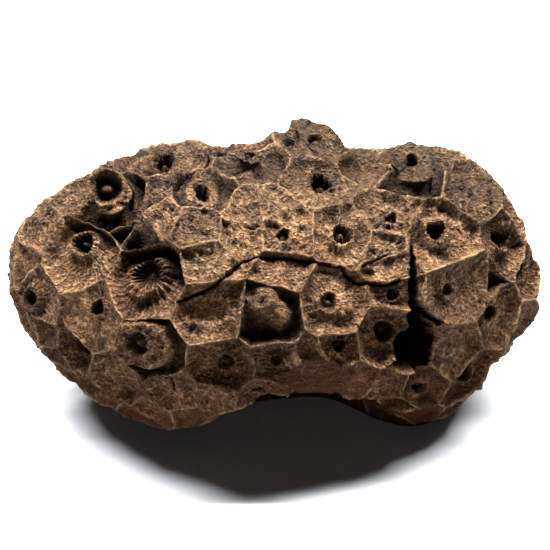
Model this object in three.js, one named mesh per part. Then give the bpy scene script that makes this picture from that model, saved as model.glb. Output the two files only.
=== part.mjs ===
// Fossil coral head: a colony of corallites grown together into one lump,
// turned to stone and cut off flat underneath. Millimetres, +Z up, the face
// of the head towards -Y, origin on the cut face under the middle.
import * as THREE from 'three';

// ---- driving dimensions ----
const LENGTH = 150;        // end to end along X
const FACE_LEAN = 30;      // the face plane leans back this many degrees
const CELL = 7.5;          // usual half-width of a corallite
const SPACING = 11.8;      // least distance between corallites on the far side
const RELIEF_START = 4;    // the relief fades in over this height above the cut
const RING_GAP = 2.5;      // between rings of surface points
const POINT_GAP = 2.9;     // between points along a ring
const SNAP = 1.3;          // surface points this near a crest or rim move onto it

// ---- the lump under the corallites ----
// Eleven equally spaced cross-sections from the left end to the right end:
// middle of the section in depth and height, then its reach each way from there.
const MIDDLE_Y = [3, 2, 1, 0, 0, 0, 0, 1, 2, 2, 2];
const MIDDLE_Z = [40, 38, 37, 36, 36, 36, 36, 36, 36, 36, 35];
const REACH_FRONT = [34, 44, 48, 50, 49, 47, 47, 47, 48, 43, 32];
const REACH_BACK = [42, 46, 49, 50, 49, 48, 48, 49, 50, 48, 42];
const REACH_UP = [42, 46, 45, 46, 42, 42, 40, 41, 52, 56, 49];
const REACH_DOWN = [35, 40, 41, 38, 34, 32, 32, 40, 44, 39, 28];

// Soft pushes on the lump: centre, radius, push. The first is the arch worn
// out of the lower front; the others carry the two feet down to the cut.
const PUSHES = [
  { at: [8, -27, 5], radius: 19, by: [0, 10, 24] },
  { at: [-36, 24, 0], radius: 28, by: [0, 0, -6] },
  { at: [38, 16, 0], radius: 28, by: [0, 0, -8] },
  { at: [0, 22, 2], radius: 26, by: [0, 0, -10] },
];

// ---- kinds of corallite ----
// basin: depth of the floor below the wall crest; boss: ring or dome on the
// floor; pit and depth: radius and depth of the central pit; lift: how far the
// whole corallite stands proud of its neighbours.
const KINDS = {
  cup: { basin: 3.2, boss: 1.6, pit: 3.0, depth: 6, lift: 0 },
  open: { basin: 3.6, boss: 0, pit: 3.8, depth: 7, lift: 0 },
  small: { basin: 2.4, boss: 0.8, pit: 2.0, depth: 4, lift: 0 },
  flat: { basin: 2.0, boss: 0, pit: 0, depth: 0, lift: 0 },
  dome: { basin: 3.4, boss: 3, pit: 0, depth: 0, lift: 0 },
  tall: { basin: 0.6, boss: 0.6, pit: 3.2, depth: 7, lift: 5 },
  stub: { basin: 1.0, boss: 0.4, pit: 2.4, depth: 3.5, lift: 3.5 },
  hollow: { basin: 7, boss: 0, pit: 0, depth: 0, lift: 0 },
};

// ---- corallites of the face ----
// Where each one sits on the face plane (across, up), its kind, its half-width
// when that is not the usual one, and where its pit lies when off centre.
const FACE = [
  // left end, top to bottom
  [-64.5, 57, 'flat', 5], [-58, 59, 'flat', 5.5], [-44.5, 57.5, 'tall', 11.3, [-45.3, 58.7]],
  [-65.5, 50, 'small', 6.5, [-64, 53.5]], [-54, 43.5, 'cup', 10.5, [-53.5, 45.5]],
  [-74, 41, 'small', 5.5], [-69.5, 39, 'flat', 5.5], [-65.5, 29.5, 'cup', 7.5, [-67, 30]],
  [-50, 24.5, 'cup', 8.5, [-48.5, 27]], [-64, 20.5, 'flat', 6], [-55.5, 15.5, 'open', 7],
  [-61, 13.5, 'flat', 5], [-52.5, 3, 'small', 6, [-51.5, 2]], [-44, 7, 'dome', 8.5, [-47, 6.5]],
  [-39.5, -3.5, 'flat', 6], [-33, -2, 'flat', 6], [-28, 3.5, 'flat', 8],
  // middle, top to bottom
  [-30, 70, 'open', 9.5, [-31, 71.5]], [-34, 59.5, 'small', 6], [-31, 52, 'flat', 5.5],
  [-35.5, 48.5, 'small', 5.5, [-36.5, 49.5]], [-43.5, 50.5, 'hollow', 4.5],
  [-35, 35.5, 'cup', 11, [-35.2, 37.5]], [-34, 15.5, 'stub', 9.5, [-37, 16.5]],
  [-19.5, 60.5, 'open', 8.5, [-19.5, 61]], [-21.5, 49, 'flat', 7], [-18, 39.5, 'flat', 7.5],
  [-17, 27, 'dome', 9.5, [-18.5, 27]], [-14, 11.5, 'cup', 8.5, [-13, 11.5]], [-16, 2, 'flat', 7],
  [-23.5, -3, 'flat', 6], [-5, 67.5, 'stub', 9, [-6.5, 68.5]], [-7, 55, 'flat', 5.5],
  [-9, 47, 'flat', 6.5], [-1, 55.5, 'flat', 5], [-0.5, 25.5, 'dome', 9, [-0.5, 27.5]],
  [3, 37.5, 'flat', 6.5], [4, 48.5, 'small', 7.5, [2.5, 47.5]], [1, 12.5, 'small', 6.5],
  [10.5, 73.5, 'stub', 10.5, [11, 73.5]], [12, 62.5, 'cup', 9.5, [13.5, 63]],
  [19, 47.5, 'cup', 8.5, [18.8, 48.2]], [16.5, 29, 'cup', 9.5, [15.5, 29]], [10, 14.5, 'flat', 5],
  [18, 17, 'small', 5.5],
  // right end, top to bottom
  [26, 65.5, 'flat', 7], [39, 65, 'tall', 9.5, [39, 66]], [55.5, 62, 'flat', 10.5],
  [32, 52.5, 'small', 7.5], [30, 44.5, 'flat', 6], [31.5, 38.5, 'flat', 6],
  [46.5, 47, 'cup', 9.5, [45, 49]], [65, 45.5, 'open', 8.5, [66, 47]], [32.5, 31.5, 'small', 6],
  [51.5, 33, 'small', 9.5, [48, 32]], [60, 33, 'hollow', 5], [72, 35, 'open', 6.5, [72, 37.5]],
  [31, 19.5, 'open', 9, [31.5, 20]], [62, 25, 'cup', 8, [60, 26]], [37.5, 14.5, 'hollow', 6.5],
  [50.5, 16, 'flat', 8.5], [55.5, 7.5, 'cup', 8, [54.5, 8]], [41.5, 5, 'cup', 7.5, [41.5, 3.5]],
  [32, 5, 'flat', 6.5], [23, 7, 'flat', 6.5], [39, -4, 'flat', 5.5],
];

const HALF = LENGTH / 2;
const SIN_LEAN = Math.sin(THREE.MathUtils.degToRad(FACE_LEAN));
const COS_LEAN = Math.cos(THREE.MathUtils.degToRad(FACE_LEAN));

// Catmull-Rom through equally spaced stations, t from -1 at the left end to 1.
function along(stations, t) {
  const last = stations.length - 1;
  const place = THREE.MathUtils.clamp((t + 1) / 2 * last, 0, last - 1e-9);
  const i = Math.floor(place);
  const u = place - i;
  const [a, b, c, d] = [Math.max(i - 1, 0), i, i + 1, Math.min(i + 2, last)].map((k) => stations[k]);
  return 0.5 * (2 * b + (c - a) * u + (2 * a - 5 * b + 4 * c - d) * u * u
    + (3 * b - a - 3 * c + d) * u * u * u);
}

// The lump's reach along Y and Z on the side that the direction points to.
function reach(dir) {
  return {
    y: along(dir.y < 0 ? REACH_FRONT : REACH_BACK, dir.x),
    z: along(dir.z > 0 ? REACH_UP : REACH_DOWN, dir.x),
  };
}

// Point of the uncut lump in a unit direction.
function lump(dir) {
  const r = reach(dir);
  const p = new THREE.Vector3(
    HALF * dir.x,
    along(MIDDLE_Y, dir.x) + r.y * dir.y,
    along(MIDDLE_Z, dir.x) + r.z * dir.z,
  );
  for (const { at, radius, by } of PUSHES) {
    const gap = p.distanceToSquared(new THREE.Vector3(...at));
    p.addScaledVector(new THREE.Vector3(...by), Math.exp(-gap / (radius * radius)));
  }
  return p;
}

// Outward normal of the lump, from two small steps about the direction.
function lumpNormal(dir) {
  const side = Math.abs(dir.z) < 0.9 ? new THREE.Vector3(0, 0, 1) : new THREE.Vector3(1, 0, 0);
  const u = new THREE.Vector3().crossVectors(side, dir).normalize().multiplyScalar(0.02);
  const v = new THREE.Vector3().crossVectors(dir, u);
  const step = (w, s) => lump(dir.clone().addScaledVector(w, s).normalize());
  const du = step(u, 1).sub(step(u, -1));
  const dv = step(v, 1).sub(step(v, -1));
  return du.cross(dv).normalize();
}

// Direction whose point on the lump lies `move` away along the surface.
function slide(dir, move) {
  const r = reach(dir);
  return new THREE.Vector3(
    dir.x + move.x / HALF, dir.y + move.y / r.y, dir.z + move.z / r.z,
  ).normalize();
}

// Point of the lump at a place on the face plane: the girth at that station is
// searched from the underside up over the front to the top.
function onFace(across, up) {
  const x = across / HALF;
  const girth = Math.sqrt(1 - x * x);
  const point = (angle) => lump(
    new THREE.Vector3(x, -Math.cos(angle) * girth, Math.sin(angle) * girth));
  const height = (p) => p.y * SIN_LEAN + p.z * COS_LEAN;
  let low = -1.75;
  let high = 1.9;
  for (let k = 0; k < 40; k += 1) {
    const mid = (low + high) / 2;
    if (height(point(mid)) < up) low = mid; else high = mid;
  }
  return point((low + high) / 2);
}

// A number from 0 to 1 that is always the same for the same n.
function scatter(n) {
  const s = Math.sin(n * 12.9898 + 4.1414) * 43758.5453;
  return s - Math.floor(s);
}

// All corallites: those of the face, then the far side filled in one by one
// wherever there is room left between the ones already there.
function growCorallites() {
  const cells = FACE.map(([across, up, kind, half = CELL, pit]) => {
    const centre = onFace(across, up);
    return { centre, pitAt: pit ? onFace(...pit) : centre, weight: half * half, ...KINDS[kind] };
  });
  const tries = 4000;
  for (let n = 0; n < tries; n += 1) {
    const x = 1 - (2 * n + 1) / tries;
    const turn = n * Math.PI * (3 - Math.sqrt(5));
    const girth = Math.sqrt(1 - x * x);
    const centre = lump(new THREE.Vector3(x, Math.cos(turn) * girth, Math.sin(turn) * girth));
    const room = SPACING + 2.5 * scatter(n);
    if (cells.every((cell) => cell.centre.distanceTo(centre) > room + Math.sqrt(cell.weight) - CELL)) {
      const pick = scatter(n + 0.5);
      const kind = pick < 0.4 ? 'cup' : pick < 0.62 ? 'open' : pick < 0.8 ? 'small' : 'flat';
      cells.push({ centre, pitAt: centre, weight: CELL * CELL, ...KINDS[kind] });
    }
  }
  return cells;
}

// The corallite a point belongs to, and the way to the nearest border.
function locate(point, cells) {
  const power = (cell) => point.distanceToSquared(cell.centre) - cell.weight;
  let cell = cells[0];
  for (const other of cells) if (power(other) < power(cell)) cell = other;
  const own = power(cell);
  let border = Infinity;
  let toward = null;
  for (const other of cells) {
    if (other === cell) continue;
    const gap = other.centre.distanceTo(cell.centre);
    const e = (power(other) - own) / (2 * gap);
    if (e < border) {
      border = e;
      toward = other.centre.clone().sub(cell.centre).divideScalar(gap);
    }
  }
  return { cell, border, toward, out: point.clone().sub(cell.pitAt) };
}

// Height of the surface above the lump.
function relief({ cell, border, out }) {
  const inside = 1 - Math.exp(-border / 1.3);
  const rise = THREE.MathUtils.smoothstep(border, 0, 4.5);
  const off = out.length();
  let height = -cell.basin * inside + cell.lift * rise;
  const brow = Math.max(0, 1 - Math.abs(off - cell.pit - 0.8) / 3.2);
  height += cell.boss * (cell.pit ? brow : Math.max(0, 1 - off / 6)) * inside;
  if (off < cell.pit) height -= cell.depth * (1 - (off / cell.pit) ** 3);
  return height;
}

// A closed net of unit directions: rings from the left tip to the right, spaced
// evenly over the lump, each ring with as many points as its girth needs.
function net() {
  const across = (REACH_UP[5] + REACH_FRONT[5]) / 2;
  const turns = [];
  for (let a = 0; a < Math.PI;) {
    a += RING_GAP / Math.hypot(HALF * Math.sin(a), across * Math.cos(a));
    turns.push(a);
  }
  const whole = turns.pop();
  const points = [new THREE.Vector3(-1, 0, 0)];
  const rings = turns.map((turn, k) => {
    const a = turn / whole * Math.PI;
    const girth = Math.sin(a);
    const count = Math.max(5, Math.round(2 * Math.PI * girth * across / POINT_GAP));
    const phase = k % 2 / 2;
    const first = points.length;
    for (let i = 0; i < count; i += 1) {
      const b = (i + phase) / count * 2 * Math.PI;
      points.push(new THREE.Vector3(-Math.cos(a), Math.cos(b) * girth, Math.sin(b) * girth));
    }
    return { first, count, phase };
  });
  const tip = points.push(new THREE.Vector3(1, 0, 0)) - 1;
  const index = [];
  const at = (ring, i) => ring.first + i % ring.count;
  const [left, right] = [rings[0], rings[rings.length - 1]];
  for (let i = 0; i < left.count; i += 1) index.push(0, at(left, i + 1), at(left, i));
  for (let i = 0; i < right.count; i += 1) index.push(tip, at(right, i), at(right, i + 1));
  for (let k = 1; k < rings.length; k += 1) {
    const [a, b] = [rings[k - 1], rings[k]];
    for (let i = 0, j = 0; i < a.count || j < b.count;) {
      const nextA = (i + 1 + a.phase) / a.count;
      const nextB = (j + 1 + b.phase) / b.count;
      if (j >= b.count || (i < a.count && nextA < nextB)) {
        index.push(at(a, i), at(a, i + 1), at(b, j));
        i += 1;
      } else {
        index.push(at(a, i), at(b, j + 1), at(b, j));
        j += 1;
      }
    }
  }
  return { points, index };
}

function buildHead() {
  const cells = growCorallites();
  const { points, index } = net();
  const position = [];
  for (let dir of points) {
    // draw points near a wall crest or a pit rim onto it, so both stay crisp
    for (let k = 0; k < 2; k += 1) {
      const { cell, border, toward, out } = locate(lump(dir), cells);
      const off = out.length();
      if (border < SNAP) dir = slide(dir, toward.multiplyScalar(border));
      else if (cell.pit && off < 1.1) dir = slide(dir, out.negate());
      else if (cell.pit && Math.abs(off - cell.pit) < SNAP) {
        dir = slide(dir, out.setLength(cell.pit - off));
      }
    }
    const p = lump(dir);
    const height = relief(locate(p, cells));
    p.addScaledVector(lumpNormal(dir), height * THREE.MathUtils.smoothstep(p.z, 0, RELIEF_START));
    if (p.z < 0.02) p.z = 0;   // the flat cut
    position.push(p.x, p.y, p.z);
  }
  const geometry = new THREE.BufferGeometry();
  geometry.setAttribute('position', new THREE.Float32BufferAttribute(position, 3));
  geometry.setIndex(index);
  geometry.computeVertexNormals();
  return geometry;
}

const head = new THREE.Group();
head.name = 'fossil_coral_head';

const stone = new THREE.MeshStandardMaterial({
  name: 'silicified_coral', color: 0x7a5f47, roughness: 0.85, metalness: 0,
});
const coral = new THREE.Mesh(buildHead(), stone);
coral.name = 'coral_head';
head.add(coral);

export default head;
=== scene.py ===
import math

import bpy
import numpy as np
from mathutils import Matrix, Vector


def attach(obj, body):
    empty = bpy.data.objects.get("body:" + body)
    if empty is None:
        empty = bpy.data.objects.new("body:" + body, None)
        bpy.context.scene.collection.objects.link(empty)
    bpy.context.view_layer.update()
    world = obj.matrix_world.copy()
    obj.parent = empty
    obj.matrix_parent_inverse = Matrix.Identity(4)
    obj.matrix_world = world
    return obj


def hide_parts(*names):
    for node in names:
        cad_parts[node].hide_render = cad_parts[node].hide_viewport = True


bl_info = {
    "name": "Fossil Coral Head",
    "version": (1, 0, 0),
    "blender": (4, 5, 0),
    "location": "View3D > Sidebar > Coral",
    "description": "A hand-size head of fossil coral, its stone and a plain studio",
    "category": "Add Mesh",
}

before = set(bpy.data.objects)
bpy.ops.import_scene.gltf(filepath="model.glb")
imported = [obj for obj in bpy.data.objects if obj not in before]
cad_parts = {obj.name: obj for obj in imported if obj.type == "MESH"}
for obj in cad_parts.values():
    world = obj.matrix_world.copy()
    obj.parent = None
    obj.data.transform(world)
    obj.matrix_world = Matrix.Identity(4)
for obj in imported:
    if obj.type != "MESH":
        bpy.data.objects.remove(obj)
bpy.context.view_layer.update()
MM = 0.001

# ---- the lump under the corallites, in mm, as in the CAD part ----
# its middle line and its reach to each side, at 11 stations from the left end to the right
LENGTH = 150.0
FACE_LEAN = math.radians(30)
FACE_OUT = np.array([0, -math.cos(FACE_LEAN), math.sin(FACE_LEAN)])
SPACING = 11.8      # least distance between corallites of the hidden side
CELL = 7.5          # half-width of one of them
TRIES = 4000        # places tried for them
BATCH = 40000       # points measured against all corallites at a time
MIDDLE_Y = [3, 2, 1, 0, 0, 0, 0, 1, 2, 2, 2]
MIDDLE_Z = [40, 38, 37, 36, 36, 36, 36, 36, 36, 36, 35]
REACH_FRONT = [34, 44, 48, 50, 49, 47, 47, 47, 48, 43, 32]
REACH_BACK = [42, 46, 49, 50, 49, 48, 48, 49, 50, 48, 42]
REACH_UP = [42, 46, 45, 46, 42, 42, 40, 41, 52, 56, 49]
REACH_DOWN = [35, 40, 41, 38, 34, 32, 32, 40, 44, 39, 28]
PUSHES = [
    ((8, -27, 5), 19, (0, 10, 24)),     # the arch worn out of the lower front
    ((-36, 24, 0), 28, (0, 0, -6)),     # the feet, carried down to the cut
    ((38, 16, 0), 28, (0, 0, -8)),
    ((0, 22, 2), 26, (0, 0, -10)),
]

# ---- the camera, in m but for its sensor in mm; it looks square on to the face plane ----
AIM = Vector((0.0004, 0.0, 0.0420))
AWAY = 1.2
HALF_VIEW = 0.0777  # half the width in view, at the aim
SENSOR = 36.0

# ---- how corallites are shaped, in mm ----
# level: the whole corallite above its neighbours
# basin, foot, funnel: floor below the crest, how far the wall takes to come down to
#     it, and extra fall towards the middle
# boss, ring, flank, flat: height, outer radius and slope width of the ring or dome,
#     and how level its top is
# pit, depth, mouth, lip: the central pit, where its steep wall begins as a part of
#     its radius, and the rim round it; pit_u, pit_v: where it lies in the ring
# column: height of the columella as a part of the pit's depth
# rough, septa: pitting, and strength of the radial blades
# oval, turn: stretch of the rings; tilt: rise of the floor upwards
# turnout: how far the cup faces out of the face plane instead of straight off the lump
# cave, gloom: undercut below the upper wall, painted dark there as shade too, and painted shadow in
# the hollow below a cup
# dark, iron: manganese film, and painted shade on some shaded recess walls; iron stain
PLAIN = dict(level=0.0, basin=3.7, foot=1.3, funnel=0.0, boss=1.3, ring=5.2, flank=2.2,
             flat=0.3, pit=2.6, depth=4.8, mouth=0.6, lip=0.4, pit_u=0.0, pit_v=0.0, column=0.8,
             rough=0.35, septa=1.0, oval=1.0, turn=0.0, tilt=0.0,
             turnout=0.0, undercut_and_painted_shade=0.0, painted_cup_shadow=0.0, manganese_and_painted_shade=0.0, iron=0.0)
KINDS = {
    "cup": {},
    "open": dict(boss=0.4, pit=3.4, depth=6.5, funnel=1.8, ring=5.6, column=0.7, mouth=0.45),
    "small": dict(basin=2.4, boss=0.7, ring=3.8, flank=1.8, pit=1.8, depth=2.8,
                  mouth=0.45),
    "flat": dict(basin=2.2, boss=0.0, pit=0.0, depth=0.0, column=0.0, rough=0.6, septa=0.7),
    "dome": dict(basin=3.4, boss=3.0, ring=6.4, flank=4.2, pit=0.0, depth=0.0, column=0.0,
                 septa=0.6, rough=0.5),
    "tall": dict(basin=3.6, boss=6.5, ring=6.4, flank=1.0, flat=1.0, pit=3.4, depth=7.0,
                 foot=1.2, rough=0.6, septa=0.7),
    "hollow": dict(level=-4.0, basin=4.0, foot=1.2, boss=0.0, pit=0.0, depth=0.0, column=0.0,
                   septa=0.0),
}

# Corallites of the face: where each sits on the leaning face plane (across, up),
# its half-width, its kind, where its ring lies if off centre, and what is its own.
FACE = [
    # left end, top to bottom
    (-64.5, 57, 5, "flat", None, dict(rough=0.8)),
    (-58, 59, 5.5, "flat", None, dict(rough=0.8)),
    # painted shadow in the hollow below this cup
    (-44.5, 57.5, 11, "tall", (-45.0, 59.2),
     dict(level=-1.5, basin=5.0, boss=11.5, ring=7.0, flank=0.9, pit=4.5, depth=3.6, mouth=0.6,
          lip=0.9, column=0.95, pit_u=-0.8, pit_v=0.5, rough=0.5, septa=0.7, painted_cup_shadow=0.9,
          turnout=0.8)),
    (-65.5, 50, 6.5, "small", (-64, 53.5), dict(level=1.2, rough=0.8, iron=0.1)),
    (-54, 43.5, 10.5, "cup", (-53.5, 45.5),
     dict(level=-2.0, basin=3.2, boss=2.8, ring=5.2, flank=1.6, pit=3.1, tilt=-1.8,
          flat=0.8, septa=1.5, turnout=0.4)),
    (-74, 41, 5.5, "small", None, {}),
    (-69.5, 39, 5.5, "flat", None, {}),
    (-65.5, 29.5, 7.5, "cup", (-67, 30), dict(level=1.0, basin=2.2, boss=2.0, ring=5.6,
                                           pit=2.3, septa=1.4, turnout=0.6)),
    (-50, 24.5, 8.5, "cup", (-48.5, 27), dict(basin=1.8, foot=2.2, boss=0.9, ring=4.0, pit=2.1)),
    (-64, 20.5, 6, "flat", None, dict(manganese_and_painted_shade=0.3)),
    (-55.5, 15.5, 7, "open", None, dict(turnout=0.3)),
    (-61, 13.5, 5, "flat", None, dict(manganese_and_painted_shade=0.3)),
    (-52.5, 3, 6, "small", (-51.5, 2), dict(turnout=0.3)),
    (-44, 7, 8.5, "dome", (-47, 6.5), dict(boss=1.2, iron=0.2)),
    (-39.5, -3.5, 6, "flat", None, dict(rough=0.2, iron=0.6)),
    (-33, -2, 6, "flat", None, dict(rough=0.2, iron=0.4)),
    (-28, 3.5, 8, "flat", None, {}),
    # middle, top to bottom
    (-30, 69, 9.5, "open", (-31, 69.3),
     dict(turnout=0.5, column=0.75, depth=4.4, pit=3.8, boss=2.2, ring=6.5, flat=0.8, septa=1.5)),
    (-34, 59.5, 6, "small", None, dict(rough=0.9, depth=1.0, boss=1.2)),
    (-31, 52, 5.5, "flat", None, dict(rough=1.0)),
    # painted shade: this recess wall below the crest is darkened
    (-36, 48.5, 5.5, "flat", None,
     dict(level=-4.0, basin=0.6, tilt=7.0, manganese_and_painted_shade=0.9, rough=-0.2, septa=0.3)),
    # painted shade: the hollow beside the tall cup is darkened
    (-43.3, 52.5, 5.5, "hollow", None, dict(level=-3.5, manganese_and_painted_shade=1.0)),
    # painted shade under this corallite's upper wall
    (-35, 35.5, 11, "cup", (-35.0, 36.2),
     dict(level=-2.2, basin=2.8, undercut_and_painted_shade=1.0, ring=6.6, flank=1.6, boss=3.4, pit=4.4, depth=5.4,
          mouth=0.35, pit_u=0.3, pit_v=0.6, column=0.2, flat=1.0, turnout=0.55, tilt=-2.4,
          septa=2.4, iron=0.25)),
    (-34, 15.5, 9.5, "tall", (-36.8, 18),
     dict(boss=3.8, ring=9.2, flank=1.5, pit=3.6, column=0.9, depth=3, rough=0.9)),
    (-19.5, 60.5, 8.5, "open", (-19.5, 61),
     dict(rough=1.0, oval=1.5, turn=1.2, level=-0.8, pit=2.8, boss=3.0, ring=7.5, flank=2.4)),
    (-21.5, 49, 7, "flat", None, dict(level=0.8, basin=1.2, rough=1.0, manganese_and_painted_shade=0.7)),
    (-18, 39.5, 7.5, "flat", None, dict(basin=1.0)),
    (-17, 27, 9.5, "dome", (-18.5, 27), dict(level=-0.8, basin=2.8, boss=-1.0, ring=5.0, flank=1.5,
                                             rough=0.25, septa=1.0)),
    (-14, 11.5, 8.5, "cup", (-13, 11.5), dict(depth=2.8, boss=0.6, mouth=0.3)),
    (-16, 2, 7, "flat", None, {}),
    (-23.5, -3, 6, "flat", None, dict(rough=0.2, iron=0.5)),
    (-5, 67.5, 9, "tall", (-6.5, 68.5),
     dict(rough=1.0, pit=1.8, depth=3, boss=5.0, ring=5.5, flank=2, turnout=0.3, manganese_and_painted_shade=0.3)),
    (-7, 55, 5.5, "flat", None, {}),
    (-9, 47, 6.5, "flat", None, dict(rough=1.0)),
    (-1, 55.5, 5, "flat", None, {}),
    (-0.5, 25.5, 9, "dome", (-0.5, 27.5),
     dict(level=-1.2, basin=3.2, painted_cup_shadow=0.7, boss=4.4, ring=7.4, flank=4.4, manganese_and_painted_shade=0.6, rough=1.2)),
    (3, 37.5, 6.5, "flat", None, dict(level=0.5)),
    (4, 48.5, 7.5, "small", (2.5, 47.5), dict(rough=0.5, boss=1.4)),
    (1, 12.5, 6.5, "small", None, {}),
    (10.5, 73.5, 10.5, "tall", (11, 73.5),
     dict(level=2.4, basin=1.5, boss=3.6, ring=9.6, flank=2.2, pit=2.2, depth=2.4, column=0.6,
          rough=0.5, turnout=0.5, manganese_and_painted_shade=0.3)),
    (12, 62.5, 9.5, "cup", (13.5, 63),
     dict(basin=2.2, boss=0.4, pit=3.8, oval=1.2, septa=1.4, depth=5.0, column=0.7,
          turnout=0.4, flat=0.7)),
    (19, 47.5, 8.5, "cup", (18.8, 48.2), dict(basin=2.7, boss=1.4, pit=2.9, ring=4.6, flank=1.4)),
    (16.5, 29, 9.5, "cup", (15.5, 29), dict(basin=3.4, boss=1.4, ring=7.4, flank=4.2, pit=2.7,
                                           depth=3.2, mouth=0.25, column=0.85, septa=0.8)),
    (10, 14.5, 5, "flat", None, {}),
    (18, 17, 5.5, "small", None, {}),
    # right end, top to bottom
    (26, 65.5, 7, "flat", None, dict(level=-2.5, basin=0.6, rough=0.0, iron=0.3)),
    (39, 65, 9.5, "tall", (39, 66),
     dict(boss=7.5, ring=8.8, flank=3.0, pit=1.8, depth=2.5, column=0.2, rough=0.5,
          turnout=0.5, painted_cup_shadow=0.5, manganese_and_painted_shade=0.35)),
    (55.5, 62, 10.5, "flat", None, dict(level=0.8, rough=1.2, manganese_and_painted_shade=0.6)),
    (32, 52.5, 7.5, "small", None, dict(rough=1.0, depth=5)),
    (30, 44.5, 6, "flat", None, dict(basin=0.8, rough=0.9)),
    (31.5, 38.5, 6, "flat", None, dict(level=0.3, basin=1.3)),
    (46.5, 47, 9.5, "cup", (45, 49), dict(boss=2.0, ring=5.6, pit=2.9, basin=2.7, depth=6,
                                          mouth=0.35, column=0.6)),
    (65, 45.5, 8.5, "open", (66, 47), dict(pit=3.2, depth=9, ring=5.2, boss=1.6, turnout=0.3)),
    (32.5, 31.5, 6, "small", None, {}),
    (51.5, 33, 9.5, "small", (48, 32), dict(level=1.5, basin=4.2, foot=4.4, manganese_and_painted_shade=0.35, boss=1.2)),
    (60, 33, 5, "hollow", None, dict(level=-5)),
    (72, 35, 6.5, "open", (72, 37.5), dict(turnout=0.5, pit=2.8)),
    (31, 19.5, 9, "open", (31.5, 20), dict(pit=2.9, depth=5, column=0.7)),
    (62, 25, 8, "cup", (60, 26), dict(pit=2.2, boss=2.2, ring=6, turnout=0.5, level=1.2)),
    (37.5, 14.5, 6.5, "hollow", None, {}),
    (50.5, 16, 8.5, "flat", None, {}),
    (55.5, 7.5, 8, "cup", (54.5, 8), dict(iron=0.6, pit=2.6, boss=1.6, turnout=0.6)),
    (41.5, 5, 7.5, "cup", (41.5, 3.5), dict(iron=0.6, pit=2.2)),
    (32, 5, 6.5, "flat", None, dict(iron=0.3)),
    (23, 7, 6.5, "flat", None, dict(iron=0.5, rough=0.2)),
    (39, -4, 5.5, "flat", None, dict(iron=0.5)),
]

# Cracks and clefts on the face plane: (across, up) along each, then half-width
# and depth at the start and at the end.
CRACKS = [
    ([(-26.5, 29), (-20, 31.5), (-13, 36), (-8, 41), (-3.5, 41.5), (4.5, 41.2), (11.5, 40),
      (19, 39), (20, 37.2), (23, 34.5), (31, 33.6), (34.5, 35)], 0.45, 3.0),
    ([(24.5, 39), (31, 42)], 0.35, 2.0),
    ([(-29, 9), (-28, 2.5)], 0.25, 1.2),
    ([(-13.5, 74), (-17.5, 70.5), (-23, 66), (-28, 61.5)], 0.6, 2.2),
    ([(40.5, 27), (43.5, 24.3), (46, 22.8)], 0.9, 3.5),
]
CLEFT = [(38.0, 45, 0.7, 3), (38.2, 40, 0.9, 6), (38.6, 35, 1.3, 7), (38.8, 29.5, 1.4, 7),
         (40.0, 24, 2.0, 8), (41.5, 19.5, 4.2, 10), (39.0, 14.7, 5.4, 13)]


def along(stations, t):
    """Catmull-Rom through equally spaced stations, t from -1 at the left end to 1."""
    s = np.asarray(stations, float)
    last = len(s) - 1
    place = np.clip((t + 1) / 2 * last, 0, last - 1e-9)
    i = place.astype(int)
    u = place - i
    a, b, c, d = s[np.maximum(i - 1, 0)], s[i], s[i + 1], s[np.minimum(i + 2, last)]
    return 0.5 * (2 * b + (c - a) * u + (2 * a - 5 * b + 4 * c - d) * u ** 2
                  + (3 * b - a - 3 * c + d) * u ** 3)


def lump(way):
    """Points of the uncut lump in unit directions."""
    x, y, z = way[:, 0], way[:, 1], way[:, 2]
    front = np.where(y < 0, along(REACH_FRONT, x), along(REACH_BACK, x))
    tall = np.where(z > 0, along(REACH_UP, x), along(REACH_DOWN, x))
    p = np.stack([LENGTH / 2 * x, along(MIDDLE_Y, x) + front * y,
                  along(MIDDLE_Z, x) + tall * z], 1)
    for at, radius, by in PUSHES:
        near = np.exp(-((p - at) ** 2).sum(1) / radius ** 2)
        p = p + near[:, None] * np.asarray(by, float)
    return p


def unit(v):
    """Vectors of length one."""
    return v / np.maximum(np.linalg.norm(v, axis=-1, keepdims=True), 1e-12)


def lump_normal(way):
    """Outward direction of the uncut lump in unit directions."""
    side = np.where(np.abs(way[:, 2:3]) < 0.9, [[0.0, 0.0, 1.0]], [[1.0, 0.0, 0.0]])
    u = unit(np.cross(side, way)) * 0.02
    v = np.cross(way, u)
    du = lump(unit(way + u)) - lump(unit(way - u))
    dv = lump(unit(way + v)) - lump(unit(way - v))
    return unit(np.cross(du, dv))


def on_face(across, up):
    """Direction of the lump at a place on the face plane."""
    x = across / (LENGTH / 2)
    girth = math.sqrt(max(0.0, 1 - x * x))

    def way(angle):
        return np.array([[x, -math.cos(angle) * girth, math.sin(angle) * girth]])

    low, high = -1.75, 1.9
    for _ in range(40):
        mid = (low + high) / 2
        p = lump(way(mid))[0]
        if p[1] * math.sin(FACE_LEAN) + p[2] * math.cos(FACE_LEAN) < up:
            low = mid
        else:
            high = mid
    return way((low + high) / 2)[0]


def scatter(n):
    """A settled number from 0 to 1 that looks like chance."""
    s = math.sin(n * 12.9898 + 4.1414) * 43758.5453
    return s - math.floor(s)


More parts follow.
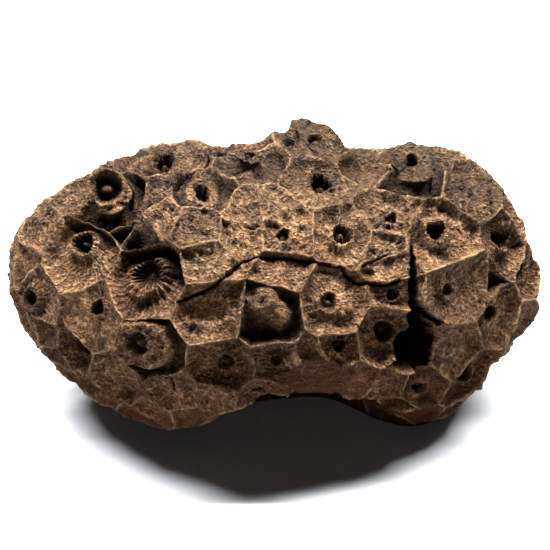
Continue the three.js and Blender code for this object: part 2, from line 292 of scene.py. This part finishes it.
def grow_corallites():
    """All corallites: those of the face, then the far side filled where there is room."""
    ways, pits, halves, shapes = [], [], [], []
    for across, up, half, kind, pit, own in FACE:
        way = on_face(across, up)
        ways.append(way)
        pits.append(on_face(*pit) if pit else way)
        halves.append(half)
        shapes.append({**PLAIN, **KINDS[kind], **own})
    centres = list(lump(np.array(ways)))
    for n in range(TRIES):
        x = 1 - (2 * n + 1) / TRIES
        turn = n * math.pi * (3 - math.sqrt(5))
        girth = math.sqrt(1 - x * x)
        way = np.array([x, math.cos(turn) * girth, math.sin(turn) * girth])
        centre = lump(way[None])[0]
        room = SPACING + 2.5 * scatter(n)
        spare = np.linalg.norm(np.array(centres) - centre, axis=1) - (np.array(halves) - CELL)
        if (spare > room).all():
            pick = scatter(n + 0.5)
            kind = ("cup" if pick < 0.4 else "open" if pick < 0.62
                    else "small" if pick < 0.8 else "flat")
            more = dict(level=2.0 * (scatter(n + 0.25) - 0.5),
                        boss=KINDS[kind].get("boss", 1.2) * (0.6 + scatter(n + 0.75)),
                        iron=0.5 * scatter(n + 0.1))
            ways.append(way)
            pits.append(way)
            halves.append(CELL)
            shapes.append({**PLAIN, **KINDS[kind], **more})
            centres.append(centre)
    return np.array(ways), np.array(pits), np.array(halves), shapes


def noise(p, size, seed):
    """Smooth value noise from -1 to 1, one swing per `size` mm."""
    q = p / size + seed * 7.31
    cell = np.floor(q).astype(np.int64)
    f = q - cell
    f = f * f * (3 - 2 * f)
    total = np.zeros(len(p))
    for dx in (0, 1):
        for dy in (0, 1):
            for dz in (0, 1):
                h = ((cell[:, 0] + dx) * 73856093 ^ (cell[:, 1] + dy) * 19349663
                     ^ (cell[:, 2] + dz) * 83492791 ^ (seed * 2654435761))
                h = (h ^ (h >> 13)) * 1274126177 & 0xFFFFFFFF
                h = ((h ^ (h >> 16)) & 0xFFFF) / 32767.5 - 1
                w = ((f[:, 0] if dx else 1 - f[:, 0]) * (f[:, 1] if dy else 1 - f[:, 1])
                     * (f[:, 2] if dz else 1 - f[:, 2]))
                total += w * h
    return total


def step(a, b, x):
    """Smooth rise from 0 at a to 1 at b."""
    t = np.clip((x - a) / (b - a), 0, 1)
    return t * t * (3 - 2 * t)


def nearest_corallites(asked, centres, halves):
    """The four nearest corallites of each point, nearest first, and the power distances."""
    near = np.empty((len(asked), 4), int)
    power = np.empty((len(asked), 4))
    for a in range(0, len(asked), BATCH):
        some = asked[a:a + BATCH]
        d = ((some ** 2).sum(1)[:, None] + (centres ** 2).sum(1)[None]
             - 2 * some @ centres.T - halves[None] ** 2)
        pick = np.argpartition(d, 4, axis=1)[:, :4]
        value = np.take_along_axis(d, pick, 1)
        order = np.argsort(value, axis=1)
        near[a:a + BATCH] = np.take_along_axis(pick, order, 1)
        power[a:a + BATCH] = np.take_along_axis(value, order, 1)
    return near, power


def weathering(base, rough, edge, ridge, rise):
    """Height of the grain, pocks and grooves that weather has given the surface."""
    grain = (0.45 * (0.5 - 1.6 * np.abs(noise(base, 4.5, 20))) + 0.30 * noise(base, 3.0, 21)
             + 0.30 * (0.4 - 1.4 * np.abs(noise(base, 1.9, 22))) + 0.20 * noise(base, 0.9, 23))
    grain = np.where(grain < -0.2, -0.2 + 0.4 * (grain + 0.2), grain)
    height = 1.35 * grain * (0.5 + 1.2 * rough) * (1 - 0.6 * ridge)
    pocks = np.clip(noise(base, 1.7, 24) - 0.2, 0, 1) * np.clip(rough - 0.3, 0, 1)
    height -= 0.25 * pocks * step(0.5, 1.5, edge)
    groove = np.exp(-(noise(base, 5.5, 71) / 0.08) ** 2)
    groove *= np.clip(noise(base, 9.0, 72) + 0.5, 0, 1)
    height -= 1.5 * groove * np.clip(rough - 0.25, 0, 0.5) * step(0.3, 1.2, edge) * (1 - rise)
    return height


def breaks(base, face, front):
    """Depth of the cracks and the cleft at each point, and how far it lies in the cleft."""
    damage = np.zeros(len(base))
    warp = 0.35 * noise(base, 1.6, 31)
    for line, half, depth in CRACKS:
        gap, _, _ = path_distance(face, [(*p, half, depth) for p in line])
        cut = depth * (1 - step(0.4, 1.0, (gap + warp * 0.5) / half)) * front
        damage = np.maximum(damage, cut)
    gap, half, depth = path_distance(face, CLEFT)
    cut = depth * (1 - step(0.55, 1.05, (gap + warp) / half)) * front
    return np.maximum(damage, cut), cut / np.maximum(depth, 0.1)


def cup_shape(c, own, base, edge, t, ru, rv):
    """Height of the ring, pit, columella and septa in a corallite, and how far a point
    is up its ring, down its pit and on its columella."""
    rho = np.hypot(ru, rv)
    pu, pv = ru - c["pit_u"], rv - c["pit_v"]
    pit_rho = np.hypot(pu, pv)
    phi = np.arctan2(pv, pu)

    ring = c["ring"] * (1 + 0.14 * np.sin(phi * 2 + own * 1.7) + 0.12 * noise(base, 3.5, 11))
    rise = 1 - step(0, 1, (rho - ring + c["flank"]) / c["flank"])
    rise *= step(0, 1.5, edge)
    height = rise * c["boss"]

    # septa: radial blades about a millimetre apart at the ring
    count = np.round(2 * np.pi * np.maximum(c["pit"], 3.4) / 1.3)
    blade = np.cos(phi * count + 1.2 * noise(base, 3.0, 9))
    spread = step(0.2, 0.5, t) * (1 - step(0.8, 1.0, t))
    spread *= 1 - step(0, 3.0, rho - c["ring"])

    mouth = c["pit"] * (1 + 0.10 * np.sin(phi * 3 + own) + 0.07 * blade * c["septa"])
    sunk = np.where(c["pit"] > 0,
                    1 - step(c["mouth"], 1.06, pit_rho / np.maximum(mouth, 0.1)), 0)
    height -= c["depth"] * sunk
    core = np.exp(-(pit_rho / np.maximum(0.42 * c["pit"], 0.1)) ** 2) * (c["pit"] > 0)
    height += c["column"] * c["depth"] * core
    lip = np.exp(-((pit_rho - c["pit"] * 1.12) / 0.5) ** 2) * (c["pit"] > 0)
    height += c["lip"] * lip * step(0.3, 1.5, edge)
    height += 0.16 * c["septa"] * blade * spread * (1 + 1.2 * lip + 1.5 * sunk * (1 - core))
    return height, rise, sunk, core


def sculpt(way):
    """Surface points of the coral in mm for unit directions, and what the stone needs."""
    ways, pit_ways, halves, shapes = grow_corallites()
    centres, pits = lump(ways), lump(pit_ways)
    shape = {k: np.array([s[k] for s in shapes], float) for k in PLAIN}
    turnout = shape["turnout"][:, None]
    axes = lump_normal(pit_ways)
    right = unit(np.cross([[0.0, 0.0, 1.0]], axes) + [[1e-6, 0, 0]])
    upward = np.cross(axes, right)
    cup_axes = unit(axes * (1 - turnout) + FACE_OUT * turnout)
    cup_right = unit(np.cross([[0.0, 0.0, 1.0]], cup_axes) + [[1e-6, 0, 0]])
    cup_upward = np.cross(cup_axes, cup_right)

    base = lump(way)
    normal = lump_normal(way)
    swell = 0.9 * noise(base, 15.0, 41) + 0.5 * noise(base, 7.0, 42)
    asked = base + np.stack([noise(base, 7.0, s) for s in (1, 2, 3)], 1) * 0.65
    asked += np.stack([noise(base, 2.2, s) for s in (4, 5, 6)], 1) * 0.28

    n = len(way)
    near, power = nearest_corallites(asked, centres, halves)
    own = near[:, 0]
    gap = np.linalg.norm(centres[near[:, 1:]] - centres[own][:, None], axis=2)
    edges = (power[:, 1:] - power[:, :1]) / (2 * gap)
    which = edges.argmin(1)
    edge = edges[np.arange(n), which]
    other = near[np.arange(n), which + 1]
    toward = unit(centres[other] - centres[own])
    toward -= (toward * normal).sum(1, keepdims=True) * normal

    c = {k: v[own] for k, v in shape.items()}
    offset = asked - pits[own]
    u = (offset * right[own]).sum(1)
    v = (offset * upward[own]).sum(1)
    cu, su = np.cos(c["turn"]), np.sin(c["turn"])
    stretch = np.sqrt(c["oval"])
    ru, rv = (u * cu + v * su) / stretch, (-u * su + v * cu) * stretch
    rho = np.hypot(ru, rv)
    t = rho / (rho + edge + 1e-6)

    # the top of the head is more weathered than its lower front
    up_face = base[:, 1] * math.sin(FACE_LEAN) + base[:, 2] * math.cos(FACE_LEAN)
    c["rough"] = c["rough"] + 0.45 * step(32, 56, up_face)

    # level of the wall crest, shared by the corallites that meet there
    soft = np.exp(-np.concatenate([np.zeros((n, 1)), edges], 1) / 0.7
                  + 0.9 * shape["level"][near])
    crest = (soft * shape["level"][near]).sum(1) / soft.sum(1)
    eaten = np.clip(noise(base, 11.0, 61) + 0.25 * noise(base, 4.0, 62), 0, 1)
    crest -= 1.5 * eaten * (0.6 + 0.7 * step(32, 56, up_face))

    floor = c["level"] - c["basin"] - c["funnel"] * (1 - t) ** 1.3
    floor += c["tilt"] * v / 8
    steep = 1 - 0.45 * step(2.5, 7, crest - floor)
    inside = 1 - np.exp(-(edge / (c["foot"] * steep)) ** 1.3)
    height = crest + (floor - crest) * inside
    cup, rise, sunk, core = cup_shape(c, own, base, edge, t, ru, rv)
    height += cup

    # thin standing crest, broken here and there
    whole = 0.55 + 0.35 * noise(base, 6.0, 12) + 0.45 * noise(base, 1.6, 13)
    ridge = np.exp(-(edge / 0.40) ** 2)
    height += 0.9 * ridge * whole

    height += weathering(base, c["rough"], edge, ridge, rise)

    # a wall that stands well over its neighbour's floor overhangs it
    drop = np.clip(crest - floor - 3.0, 0, 5)
    corner = np.sort(edges, 1)[:, 1] - edge
    under = 0.5 * drop * step(0.25, 1.1, edge) * (1 - step(1.4, 5.0, edge))
    under *= step(0.5, 2.5, corner) * (1 - rise)
    above = np.clip((toward * upward[own]).sum(1), 0, 1) ** 0.5
    # the undercut is cut into the stone and also painted dark as shade
    undercut_and_painted_shade = c["undercut_and_painted_shade"] * above * step(0.3, 1.2, edge) * (1 - step(2.2, 4.5, edge)) * (1 - rise)
    height -= 2.0 * undercut_and_painted_shade
    # painted shadow: the hollow below a cup is darkened as if the cup shaded it
    painted_cup_shadow = c["painted_cup_shadow"] * (1 - rise) * step(0, 4, -v) * step(0.2, 1.0, edge)

    face = on_face_points(base)
    front = (normal @ FACE_OUT) > 0.05
    damage, cleft = breaks(base, face, front)

    # a smooth patch of the mud it lay in, still stuck in the arch
    far = ((face[:, 0] - 12 + 1.5 * noise(base, 5.0, 51)) / 10.5) ** 2 \
        + ((face[:, 1] - 8 + 1.2 * noise(base, 4.0, 52)) / 5.5) ** 2
    patch = (1 - step(0.7, 1.1, far)) * front
    height += patch * (crest - 0.6 + 0.5 * noise(base, 5.0, 53) - height)

    fade_in = step(0, 4, base[:, 2])
    blend = step(0, 3, edge)[:, None]
    aim = unit(normal * (1 - blend) + axes[own] * blend)
    height = height + swell
    point = base + aim * (height * fade_in)[:, None] + toward * (under * fade_in)[:, None]
    disc = (pits[own] + cup_right[own] * u[:, None] + cup_upward[own] * v[:, None]
            + cup_axes[own] * height[:, None])
    point += (disc - point) * (rise * c["flat"] * fade_in)[:, None]
    point -= normal * (damage * fade_in)[:, None]
    point[:, 2] = np.where(point[:, 2] < 0.02, 0.0, point[:, 2])

    facts = {
        "u": u, "v": v, "pit": sunk * (1 - core), "core": core * sunk,
        "wall": step(-1.3, -0.3, height - swell - crest) * (1 - cleft) * (1 - eaten)
        * (1 - patch),
        "edge": np.minimum(edge, 3.0),
        # painted shade: the top of the head is darkened, besides the manganese film of single
        # corallites
        "manganese_and_painted_shade": np.clip(c["manganese_and_painted_shade"] + 0.75 * step(50, 68, up_face), 0, 1),
        "iron": np.clip(c["iron"] + 0.5 * (1 - step(4, 22, base[:, 2]))
                        + 0.3 * (1 - step(15, 50, up_face)) + 0.8 * patch, 0, 1.6),
        # painted shade in the cleft, the deep cracks, under the upper wall and below cups; it also
        # darkens the mud patch in the arch
        "painted_recess_shade": np.clip(cleft + (damage > 0.6) + 1.2 * undercut_and_painted_shade + 0.85 * painted_cup_shadow
                        + 0.4 * patch, 0, 1),
        "blades": c["septa"] * (1 - patch) * (1 - 0.5 * np.clip(c["rough"], 0, 1)),
    }
    return point, facts


def on_face_points(p):
    """Points as seen square on to the face plane: across and up."""
    return np.stack([p[:, 0], p[:, 1] * math.sin(FACE_LEAN) + p[:, 2] * math.cos(FACE_LEAN)], 1)


def path_distance(q, line):
    """Distance from points to a broken line, with its half-width and depth there."""
    best = np.full(len(q), 1e9)
    half = np.ones(len(q))
    depth = np.zeros(len(q))
    for a, b in zip(line, line[1:]):
        a, b = np.array(a, float), np.array(b, float)
        run = b[:2] - a[:2]
        s = np.clip(((q - a[:2]) @ run) / (run @ run), 0, 1)
        here = a[2] + s * (b[2] - a[2])
        d = np.linalg.norm(q - (a[:2] + s[:, None] * run), axis=1) / here
        closer = d < best
        best = np.where(closer, d, best)
        half = np.where(closer, here, half)
        depth = np.where(closer, a[3] + s * (b[3] - a[3]), depth)
    return best * half, half, depth


# ---- materials ----
def linear(hex_colour):
    """An sRGB hex colour as linear red, green, blue and alpha."""
    channels = [int(hex_colour[i:i + 2], 16) / 255 for i in (1, 3, 5)]
    return (*[c / 12.92 if c <= 0.04045 else ((c + 0.055) / 1.055) ** 2.4
              for c in channels], 1.0)


def add_node(tree, kind, settings=None, **links):
    """Adds a node, sets its options and sockets, and links the sockets given by name."""
    node = tree.nodes.new(kind)
    for key, value in (settings or {}).items():
        if isinstance(key, int) or key in node.inputs:
            node.inputs[key].default_value = value
        else:
            setattr(node, key, value)
    for key, source in links.items():
        tree.links.new(source, node.inputs[key.replace("_", " ")])
    return node


def ramp(tree, fac, stops):
    """Colours set out along a value."""
    node = add_node(tree, "ShaderNodeValToRGB", Fac=fac)
    bar = node.color_ramp
    while len(bar.elements) < len(stops):
        bar.elements.new(0.5)
    for element, (place, colour) in zip(bar.elements, stops):
        element.position = place
        element.color = colour
    return node


def stone_material(look):
    """Silicified coral: calcite of the coral replaced by chalcedony, stained by iron and
    weathered, so it is dull, grainy and brown, with wall crests worn pale and tan."""
    mat = bpy.data.materials.new("silicified_coral_weathered")
    mat.use_nodes = True
    tree = mat.node_tree
    tree.nodes.clear()

    def attribute(name):
        return add_node(tree, "ShaderNodeAttribute",
                        dict(attribute_type="GEOMETRY", attribute_name=name)).outputs["Fac"]

    def fill(*pairs):
        for socket, value in pairs:
            if isinstance(value, (int, float, tuple)):
                socket.default_value = value
            else:
                tree.links.new(value, socket)

    def mix(fac, a, b):
        node = add_node(tree, "ShaderNodeMix", dict(data_type="RGBA"))
        fill((node.inputs[0], fac), (node.inputs[6], a), (node.inputs[7], b))
        return node.outputs[2]

    def maths(op, a, b=0.0, clamp=False):
        node = add_node(tree, "ShaderNodeMath", dict(operation=op, use_clamp=clamp))
        fill((node.inputs[0], a), (node.inputs[1], b))
        return node.outputs[0]

    place = add_node(tree, "ShaderNodeTexCoord").outputs["Object"]

    def grain(size_mm, detail=3.0, rough=0.6):
        return add_node(tree, "ShaderNodeTexNoise",
                        {"Scale": 1 / (size_mm * MM), "Detail": detail, "Roughness": rough},
                        Vector=place).outputs["Fac"]

    def pits(size_mm):
        return add_node(tree, "ShaderNodeTexVoronoi", {"Scale": 1 / (size_mm * MM)},
                        Vector=place).outputs["Distance"]

    # septa: coarse ones by the pit, finer ones towards the wall
    u, v = attribute("u"), attribute("v")
    angle = maths("ARCTAN2", v, u)
    reach = maths("SQRT", maths("ADD", maths("MULTIPLY", u, u), maths("MULTIPLY", v, v)))
    outer = maths("MULTIPLY", maths("SUBTRACT", reach, 3.5), 0.6, True)
    wander = maths("MULTIPLY", grain(2.5, 2), 3.0)
    major = maths("SINE", maths("ADD", maths("MULTIPLY", angle, 26.0), wander))
    minor = maths("SINE", maths("ADD", maths("MULTIPLY", angle, 40.0), wander))
    blades = maths("ADD", maths("MULTIPLY", major, maths("SUBTRACT", 1.0, outer)),
                   maths("MULTIPLY", minor, maths("MULTIPLY", outer, 0.8)))
    blades = maths("MULTIPLY", blades, attribute("blades"))

    lumps, grit, holes = grain(1.9, 4, 0.65), grain(0.65, 3, 0.7), pits(1.0)
    relief = maths("ADD", maths("MULTIPLY", lumps, 1.2), maths("MULTIPLY", grit, 0.9))
    relief = maths("ADD", relief, maths("MULTIPLY", holes, 0.5))
    carved = maths("ADD", relief, maths("MULTIPLY", blades, 0.085))
    bump = add_node(tree, "ShaderNodeBump", {"Strength": 1.0, "Distance": 2.6 * MM},
                    Height=carved)

    wide = ramp(tree, grain(10, 5, 0.65), [(0.36, linear(look.shade)), (0.62, linear(look.body))])
    # painted shade: the low parts of the grain are painted dark as shade, and the high parts are
    # worn pale
    scaled = maths("MULTIPLY", maths("SUBTRACT", carved, 0.98), 1.45)
    grain_shade_and_wear = ramp(tree, scaled, [(0.18, linear("#090503")), (0.36, linear("#38281B")),
                               (0.56, linear("#6B5038")), (1.0, linear("#BC9B78"))])
    colour = mix(0.45, wide.outputs[0], grain_shade_and_wear.outputs[0])
    iron = maths("MULTIPLY", attribute("iron"), maths("ADD", grain(9, 3), 0.35), True)
    colour = mix(maths("MULTIPLY", iron, 0.85), colour, linear(look.iron))
    # manganese film, and painted shade on the top of the head and on shaded recess walls
    manganese_and_painted_shade = maths("MULTIPLY", attribute("manganese_and_painted_shade"), maths("MULTIPLY", grain(3, 4, 0.7), 1.4), True)
    colour = mix(manganese_and_painted_shade, colour, linear(look.manganese_and_painted_shade))
    # the very crest of a wall is worn pale, thin and broken
    line = maths("MULTIPLY", maths("SUBTRACT", 0.62, maths("ADD", attribute("edge"),
                 maths("MULTIPLY", grain(1.6, 3, 0.7), 0.45))), 4.0, True)
    patchy = maths("MULTIPLY", maths("SUBTRACT", grain(8, 3, 0.6), 0.40), 4.5, True)
    crest = maths("MULTIPLY", maths("MULTIPLY", line, attribute("wall")), patchy)
    crest = maths("MULTIPLY", crest, 0.42)
    colour = mix(crest, colour, linear(look.crest))
    # painted shade: colour is darkened where ambient occlusion finds hollows and creases
    hidden = add_node(tree, "ShaderNodeAmbientOcclusion", {"Distance": 4.5 * MM}).outputs["AO"]
    painted_crevice_shade = maths("MULTIPLY", maths("SUBTRACT", 0.90, hidden), 1.7, True)
    # the columella standing up in its pit gets less of this painted shade
    columella_spared = maths("SUBTRACT", 1.0, maths("MULTIPLY", attribute("core"), 0.75))
    colour = mix(maths("MULTIPLY", painted_crevice_shade, columella_spared), colour, linear("#150D07"))
    # painted shade: the inside of each pit is darkened
    depth = maths("MULTIPLY", attribute("pit"), 0.4)
    colour = mix(depth, colour, linear("#1C130C"))
    # painted shade: near-black in the cleft, cracks, under walls and below cups, and darker on the
    # mud patch
    colour = mix(attribute("painted_recess_shade"), colour, linear("#120B07"))
    gloss = maths("MULTIPLY", maths("SUBTRACT", 1.0, attribute("painted_recess_shade")), 0.14)
    shader = add_node(tree, "ShaderNodeBsdfPrincipled", {"Roughness": 0.62, "IOR": 1.5},
                      Specular_IOR_Level=gloss, Base_Color=colour, Normal=bump.outputs[0])
    tree.links.new(shader.outputs[0], add_node(tree, "ShaderNodeOutputMaterial").inputs[0])
    return mat


def floor_material(look):
    """Matt white card: an even pale ground with no texture of its own."""
    mat = bpy.data.materials.new("white_card_matt")
    mat.use_nodes = True
    shader = mat.node_tree.nodes["Principled BSDF"]
    shader.inputs["Base Color"].default_value = linear(look.floor)
    shader.inputs["Roughness"].default_value = 0.9
    return mat


def deselect():
    bpy.ops.object.select_all(action="DESELECT")


class CoralLook(bpy.types.PropertyGroup):
    body: bpy.props.StringProperty(name="Body", description="Brown of the stone",
                                   default="#785A3D")
    shade: bpy.props.StringProperty(name="Shade", description="Darker brown",
                                    default="#30241A")
    iron: bpy.props.StringProperty(name="Iron", description="Iron stain",
                                   default="#45240F")
    # grey-black of a manganese film, also used as painted shade
    manganese_and_painted_shade: bpy.props.StringProperty(name="Manganese", description="Grey-black film",
                                   default="#2E251B")
    crest: bpy.props.StringProperty(name="Crest", description="Worn wall crests",
                                    default="#C6A67C")
    floor: bpy.props.StringProperty(name="Floor", description="Card under it",
                                    default="#BFC2C6")
    triangles: bpy.props.IntProperty(name="Triangles", description="Triangles of the finished head",
                                     default=194000, min=20000, max=199000)
    fineness: bpy.props.IntProperty(name="Fineness", description="Subdivisions of the first ball",
                                    default=9, min=6, max=9)


class CORAL_OT_head(bpy.types.Operator):
    """Makes the coral head from a ball: lump, corallites, cleft and grain"""
    bl_idname = "coral.head"
    bl_label = "Coral head"

    def execute(self, context):
        look = context.scene.coral_look
        deselect()
        bpy.ops.mesh.primitive_ico_sphere_add(subdivisions=look.fineness, radius=1.0)
        head = context.object
        head.name = head.data.name = "coral_head_stone"
        mesh = head.data
        way = np.empty(len(mesh.vertices) * 3)
        mesh.vertices.foreach_get("co", way)
        way = unit(way.reshape(-1, 3))
        # spread the points evenly over a lump that is longer than it is wide
        x = 0.87 * way[:, 0] + 0.13 * way[:, 0] ** 3
        girth = np.sqrt(1 - x ** 2) / np.maximum(np.hypot(way[:, 1], way[:, 2]), 1e-9)
        way = unit(np.stack([x, way[:, 1] * girth, way[:, 2] * girth], 1))
        point, facts = sculpt(way)
        mesh.vertices.foreach_set("co", (point * MM).ravel())
        for name, values in facts.items():
            layer = mesh.attributes.new(name, "FLOAT", "POINT")
            layer.data.foreach_set("value", values.astype(np.float32))
        mesh.update()
        thin = head.modifiers.new("thin", "DECIMATE")
        thin.ratio = look.triangles / len(mesh.polygons)
        bpy.ops.object.modifier_apply(modifier=thin.name)
        bpy.ops.object.shade_smooth()
        mesh.materials.append(stone_material(look))
        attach(head, "root")
        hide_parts("coral_head")
        return {"FINISHED"}


class CORAL_OT_stage(bpy.types.Operator):
    """Adds the floor, the lights and the camera"""
    bl_idname = "coral.stage"
    bl_label = "Stage"

    def execute(self, context):
        look = context.scene.coral_look
        scene = context.scene
        deselect()
        bpy.ops.mesh.primitive_plane_add(size=8.0, location=(0, 0, 0))
        floor = context.object
        floor.name = "floor"
        floor.data.materials.append(floor_material(look))

        def softbox(name, place, at, width, depth, power):
            deselect()
            bpy.ops.object.light_add(type="AREA", location=place)
            lamp = context.object
            lamp.name = name
            lamp.data.shape = "RECTANGLE"
            lamp.data.size, lamp.data.size_y = width, depth
            lamp.data.energy = power
            lamp.rotation_euler = (Vector(at) - Vector(place)).to_track_quat("-Z", "Y").to_euler()

        softbox("top_softbox", (0.0, 0.085, 0.60), (0, 0, 0.03), 1.05, 0.08, 45)
        softbox("front_fill", (-0.2, -1.3, 0.16), (0, 0, 0.04), 0.7, 0.3, 4.1)

        world = bpy.data.worlds.new("studio")
        scene.world = world
        world.use_nodes = True
        back = world.node_tree.nodes["Background"]
        back.inputs["Color"].default_value = (1, 1, 1, 1)
        back.inputs["Strength"].default_value = 0.02

        bpy.ops.object.camera_add(location=AIM + Vector(FACE_OUT) * AWAY)
        camera = context.object
        camera.rotation_euler = (AIM - camera.location).to_track_quat("-Z", "Y").to_euler()
        camera.data.sensor_width = SENSOR
        camera.data.lens = SENSOR / 2 * AWAY / HALF_VIEW
        camera.data.clip_end = 20.0
        scene.camera = camera
        scene.view_settings.view_transform = "Standard"
        scene.view_settings.look = "Medium High Contrast"
        return {"FINISHED"}


class CORAL_PT_panel(bpy.types.Panel):
    """Colours and fineness of the coral head, and buttons that make it and its stage"""
    bl_label = "Fossil coral head"
    bl_idname = "CORAL_PT_panel"
    bl_space_type = "VIEW_3D"
    bl_region_type = "UI"
    bl_category = "Coral"

    def draw(self, context):
        look = context.scene.coral_look
        for name in ("body", "shade", "iron", "manganese_and_painted_shade", "crest", "floor", "triangles", "fineness"):
            self.layout.prop(look, name)
        self.layout.operator(CORAL_OT_head.bl_idname)
        self.layout.operator(CORAL_OT_stage.bl_idname)


CLASSES = (CoralLook, CORAL_OT_head, CORAL_OT_stage, CORAL_PT_panel)


def register():
    for cls in CLASSES:
        bpy.utils.register_class(cls)
    bpy.types.Scene.coral_look = bpy.props.PointerProperty(type=CoralLook)


def unregister():
    del bpy.types.Scene.coral_look
    for cls in reversed(CLASSES):
        bpy.utils.unregister_class(cls)


def main():
    register()
    bpy.ops.coral.head()
    bpy.ops.coral.stage()


if __name__ == "__main__":
    main()
